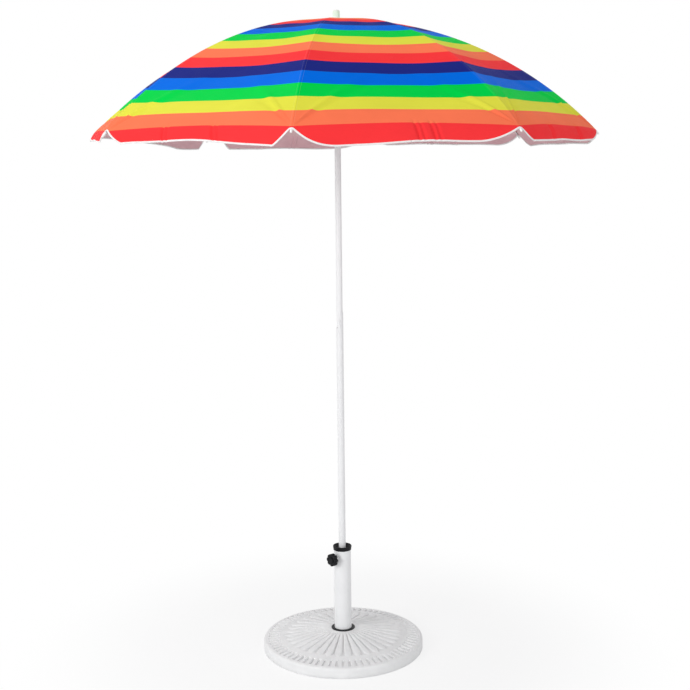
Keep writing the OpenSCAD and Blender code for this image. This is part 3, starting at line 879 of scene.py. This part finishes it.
def build_hem_tape(rib):
    """White tape folded over the cloth's lower edge."""
    step_up = 0.006
    path = []
    for gore, share, _ in rib_columns(rib):
        s = hem_at(gore, share)
        point, outward = cloth_point(gore, share, s)
        above, _ = cloth_point(gore, share, s - step_up)
        path.append((point, outward, above - point))
    # Section of the tape: distance up from the cloth's edge, and out from its outer face
    section = (
        (HEM_TAPE_W, 0.0005),
        (HEM_TAPE_W - 0.001, 0.0011),
        (0.001, 0.0012),
        (-0.0008, 0.0003),
        (-0.0008, -0.0009),
        (0.001, -0.0018),
        (HEM_TAPE_W - 0.001, -0.0017),
        (HEM_TAPE_W, -0.0011),
    )
    points = []
    for index, (point, outward, above) in enumerate(path):
        before = path[max(index - 1, 0)][0]
        after = path[min(index + 1, len(path) - 1)][0]
        tangent = (after - before).normalized()
        up_cloth = outward.cross(tangent)
        if up_cloth.dot(above) < 0:
            up_cloth = -up_cloth
        up_cloth.normalize()
        points.extend(point + up_cloth * up + outward * out for up, out in section)
    piece = make_object(f"hem_tape_{rib}", points, capped_faces(len(path), len(section)), (HEM_TAPE,))
    bm = bmesh.new()
    bm.from_mesh(piece.data)
    bmesh.ops.recalc_face_normals(bm, faces=bm.faces)
    bm.to_mesh(piece.data)
    bm.free()
    return piece


def dress_rib(rib):
    body = f"rib_arm_{rib}"
    tape = build_hem_tape(rib)
    finish_piece(tape, body, "canopy_cloth")
    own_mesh(tape)
    sleeve = build_sleeve(rib)
    finish_piece(sleeve, body, "canopy_cloth")
    for ring, keep in enumerate(RING_KEEPS):
        cloth = build_cloth(rib, ring)
        finish_piece(cloth, body, "canopy_cloth", f"canopy_{rib}")
        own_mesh(cloth)


# Stand

def petal_relief(radius, angle):
    """Height of the moulded petals and ticks over the plain sloping top."""
    place = angle / math.tau * PETALS
    off = abs(place - math.floor(place) - 0.5)
    relief = 0.0
    if PETAL_START < radius < PETAL_END:
        tip = (PETAL_END - radius) / PETAL_TIP
        fill = PETAL_FILL - PETAL_TAPER * (radius - PETAL_START) / (PETAL_END - PETAL_START)
        if tip < 1:
            fill *= math.sqrt(max(0.0, 1 - (1 - tip) ** 2))
        rise = min(1.0, (radius - PETAL_START) / PETAL_RISE)
        if off < fill:
            relief = PETAL_CROWN * rise * (1 - (off / fill) ** 4)
        else:
            relief = -GROOVE_DEPTH * rise * min(1.0, tip)
    place = angle / math.tau * TICKS
    off = abs(place - round(place)) * math.tau / TICKS * radius
    if TICK_START < radius < TICK_END and off < TICK_HALF_W:
        relief -= TICK_DEPTH
    return relief


def build_base():
    """The weighted base: sloping top with petals, rounded rim, and the bolt's pocket below."""
    columns = 24 * PETALS
    top_rows = 72
    round_rows = 8
    top_edge_r = BASE_R - RIM_ROUND
    bolt_hole_r = BOLT_R + 0.0005
    tube_hole_r = TUBE_R + 0.0001
    hub_edge_r = HUB_R - 0.0015
    wall_middle = 0.014
    turn = PETAL_TURN - math.pi / 2
    section = [(bolt_hole_r, TUBE_FOOT), (tube_hole_r, TUBE_FOOT), (tube_hole_r, HUB_H), (hub_edge_r, HUB_H)]
    first_top = len(section)
    for row in range(top_rows + 1):
        share = row / top_rows
        section.append((HUB_R + (top_edge_r - HUB_R) * share, HUB_H + (RIM_H - HUB_H) * share))
    last_top = len(section)
    for row in range(1, round_rows + 1):
        angle = math.pi / 2 * (1 - row / round_rows)
        section.append((top_edge_r + RIM_ROUND * math.cos(angle), RIM_H - RIM_ROUND * (1 - math.sin(angle))))
    section += [(BASE_R, wall_middle), (BASE_R, BASE_BEVEL), (BASE_R - BASE_BEVEL, 0.0)]
    section += [(BOLT_POCKET_R, 0.0), (BOLT_POCKET_R, BOLT_POCKET_H), (bolt_hole_r, BOLT_POCKET_H)]
    points = []
    for row, (radius, height) in enumerate(section):
        for column in range(columns):
            angle = math.tau * column / columns
            relief = petal_relief(radius, angle) if first_top <= row < last_top else 0.0
            heading = angle + turn
            points.append((radius * math.cos(heading), radius * math.sin(heading), height + relief))
    faces = ring_faces(len(section), columns, closed_rows=True)
    piece = make_object("base_casting", points, [face[::-1] for face in faces], (RESIN,))
    sharpen(piece, math.radians(50))
    finish_piece(piece, "base", "base_resin", "base_weight")


def build_knob():
    """The clamp's lobed knob, with a dished front and a round cap in its middle."""
    columns = 16 * KNOB_LOBES
    # The knob is round up to one share of its radius and fully lobed from the other
    plain_share = 0.5
    lobed_share = 0.8
    # Share of the radius with height over the back, then with depth under the front
    back = ((0.70, 0.0), (0.90, 0.0006), (0.985, 0.0022), (1.0, 0.0045))
    front = (
        (1.0, 0.0045), (0.98, 0.0022), (0.88, 0.0006), (0.74, 0.0), (0.62, 0.0006),
        (0.52, 0.0024), (0.42, 0.0026), (0.40, 0.0008), (0.30, 0.0002), (0.02, 0.0),
    )
    section = [(KNOB_BORE_R, 0.0)]
    section += [(share * KNOB_R, height) for share, height in back]
    section += [(share * KNOB_R, KNOB_T - depth) for share, depth in front]
    axis = Vector((math.cos(KNOB_HEADING), math.sin(KNOB_HEADING), 0))
    side = UP.cross(axis)
    centre = axis * (TUBE_R + KNOB_GAP) + UP * (TUBE_TOP - CLAMP_DEPTH)
    points = []
    for ring_r, along in section:
        lobed = clamp((ring_r / KNOB_R - plain_share) / (lobed_share - plain_share))
        for column in range(columns):
            angle = math.tau * column / columns
            hollow = 1 - abs(math.cos(KNOB_LOBES / 2 * angle)) ** LOBE_FULLNESS
            r = ring_r * (1 - LOBE_DEPTH * hollow * lobed)
            points.append(centre + axis * along + side * (r * math.cos(angle)) + UP * (r * math.sin(angle)))
    piece = make_object("knob_grip", points, capped_faces(len(section), columns), (BLACK_PLASTIC,))
    sharpen(piece, math.radians(55))
    finish_piece(piece, "clamp_handle", "black_plastic", "clamp_knob")


def build_finial():
    """The finial: a flange on the cloth and a fluted grip with a domed end."""
    flutes = 18
    flute_depth = 0.0008
    columns = 8 * flutes
    foot = CANOPY_TOP + 0.0003
    grip = foot + 0.004
    grip_r = 0.0105
    end = grip + 0.025
    dome_rows = 6
    dome_h = 0.005
    dome_r = grip_r - 0.0008
    tip_r = 0.0004
    # Radius with height over the foot, then with height over the grip's start
    flange = ((0.0042, 0.0), (0.0160, 0.0), (0.0170, 0.0008), (0.0166, 0.0022))
    neck = ((0.0150, -0.0002), (0.0118, 0.0002), (grip_r, 0.0015))
    section = [(radius, foot + height) for radius, height in flange]
    section += [(radius, grip + height) for radius, height in neck]
    first_flute = len(section)
    section += [(grip_r, grip + 0.0025), (grip_r, grip + 0.012), (grip_r - 0.0003, end - 0.006)]
    last_flute = len(section)
    for row in range(1, dome_rows + 1):
        angle = math.pi / 2 * row / dome_rows
        section.append((tip_r + dome_r * math.cos(angle), end - dome_h + dome_h * math.sin(angle)))
    points = []
    for row, (radius, height) in enumerate(section):
        depth = flute_depth if first_flute <= row < last_flute else 0.0
        for column in range(columns):
            angle = math.tau * column / columns
            r = radius - depth * (0.5 - 0.5 * math.cos(flutes * angle))
            points.append((r * math.cos(angle), r * math.sin(angle), height))
    piece = make_object("finial_grip", points, capped_faces(len(section), columns), (WHITE_PLASTIC,))
    sharpen(piece, math.radians(50))
    finish_piece(piece, "upper_mast", "white_plastic", "finial")


# Room, light and camera

def seen_rays(owner):
    """1 for rays from the camera and for those that gloss or glass sends on, else 0."""
    rays = add_node(owner, "ShaderNodeLightPath")
    seen = math_node(owner, "MAXIMUM", rays.outputs["Is Camera Ray"], rays.outputs["Is Glossy Ray"])
    return math_node(owner, "MAXIMUM", seen, rays.outputs["Is Transmission Ray"])


def build_floor():
    """A pale floor that shows the shadow near the stand and is plain white further out."""
    half = 40.0
    shadow_r = 0.45
    white_r = 1.1
    white_near = 0.78
    corners = [(-half, -half, 0), (half, -half, 0), (half, half, 0), (-half, half, 0)]
    material, shader = new_material("pale_floor", (0.86, 0.86, 0.86), roughness=0.9)
    vary_roughness(material, shader, object_noise(material, scale=3), low=0.85, high=0.95)
    place = add_node(material, "ShaderNodeTexCoord")
    away = add_node(material, "ShaderNodeVectorMath", operation="LENGTH")
    link(material, place.outputs["Object"], away.inputs[0])
    share = add_node(material, "ShaderNodeMapRange", interpolation_type="SMOOTHSTEP")
    share.inputs["From Min"].default_value = shadow_r
    share.inputs["From Max"].default_value = white_r
    share.inputs["To Min"].default_value = white_near
    share.inputs["To Max"].default_value = 1.0
    link(material, away.outputs["Value"], share.inputs["Value"])
    glow = add_node(material, "ShaderNodeEmission")
    glow.inputs["Strength"].default_value = 1.0
    glow.inputs["Color"].default_value = (1, 1, 1, 1)
    blend = add_node(material, "ShaderNodeMixShader")
    white = math_node(material, "MULTIPLY", seen_rays(material), share.outputs["Result"])
    link(material, white, blend.inputs["Fac"])
    link(material, shader.outputs["BSDF"], blend.inputs[1])
    link(material, glow.outputs["Emission"], blend.inputs[2])
    link(material, blend.outputs["Shader"], material.node_tree.nodes["Material Output"].inputs["Surface"])
    make_object("floor", corners, [(0, 1, 2, 3)], (material,))


def build_world():
    """A world that looks white and lights the scene a little less."""
    world = bpy.data.worlds.new("studio")
    bpy.context.scene.world = world
    world.use_nodes = True
    nodes = world.node_tree.nodes
    ambient = nodes["Background"]
    ambient.inputs["Color"].default_value = AMBIENT_COLOUR
    ambient.inputs["Strength"].default_value = AMBIENT_STRENGTH
    white = add_node(world, "ShaderNodeBackground")
    white.inputs["Color"].default_value = (1, 1, 1, 1)
    white.inputs["Strength"].default_value = 1.0
    blend = add_node(world, "ShaderNodeMixShader")
    link(world, seen_rays(world), blend.inputs["Fac"])
    link(world, ambient.outputs["Background"], blend.inputs[1])
    link(world, white.outputs["Background"], blend.inputs[2])
    link(world, blend.outputs["Shader"], nodes["World Output"].inputs["Surface"])


def add_lamp(name, place, target, size, power):
    data = bpy.data.lights.new(name, "AREA")
    data.shape = "DISK"
    data.size = size
    data.energy = power
    lamp = bpy.data.objects.new(name, data)
    bpy.context.scene.collection.objects.link(lamp)
    heading = (Vector(target) - Vector(place)).to_track_quat("-Z", "Y")
    lamp.matrix_world = Matrix.Translation(place) @ heading.to_matrix().to_4x4()


def build_camera():
    ahead = Vector((-math.sin(CAMERA_AZIMUTH), math.cos(CAMERA_AZIMUTH), 0))
    right = Vector((math.cos(CAMERA_AZIMUTH), math.sin(CAMERA_AZIMUTH), 0))
    place = right * CAMERA_SIDE - ahead * CAMERA_DISTANCE + UP * CAMERA_HEIGHT
    look = ahead * math.cos(CAMERA_PITCH) - UP * math.sin(CAMERA_PITCH)
    above = ahead * math.sin(CAMERA_PITCH) + UP * math.cos(CAMERA_PITCH)
    side = right * math.cos(CAMERA_ROLL) + above * math.sin(CAMERA_ROLL)
    head = above * math.cos(CAMERA_ROLL) - right * math.sin(CAMERA_ROLL)
    data = bpy.data.cameras.new("camera")
    data.lens = CAMERA_LENS
    data.sensor_width = SENSOR_W
    camera = bpy.data.objects.new("camera", data)
    bpy.context.scene.collection.objects.link(camera)
    turned = Matrix((side, head, -look)).transposed().to_4x4()
    camera.matrix_world = Matrix.Translation(place) @ turned
    bpy.context.scene.camera = camera


def paint_frame():
    """Gives each carried-over solid the material of its slot."""
    for part in frame["record"]["subparts"]:
        node = frame["nodes"][part["node"]]
        node.data.materials.clear()
        node.data.materials.append(SLOT_MATERIALS[part["material_slot"]])


build_camera()
paint_frame()
for rib_index in range(1, RIBS + 1):
    dress_rib(rib_index)
build_base()
build_knob()
build_finial()
build_floor()
build_world()
for lamp_values in LAMPS:
    add_lamp(*lamp_values)
bpy.context.scene.view_settings.view_transform = "Standard"
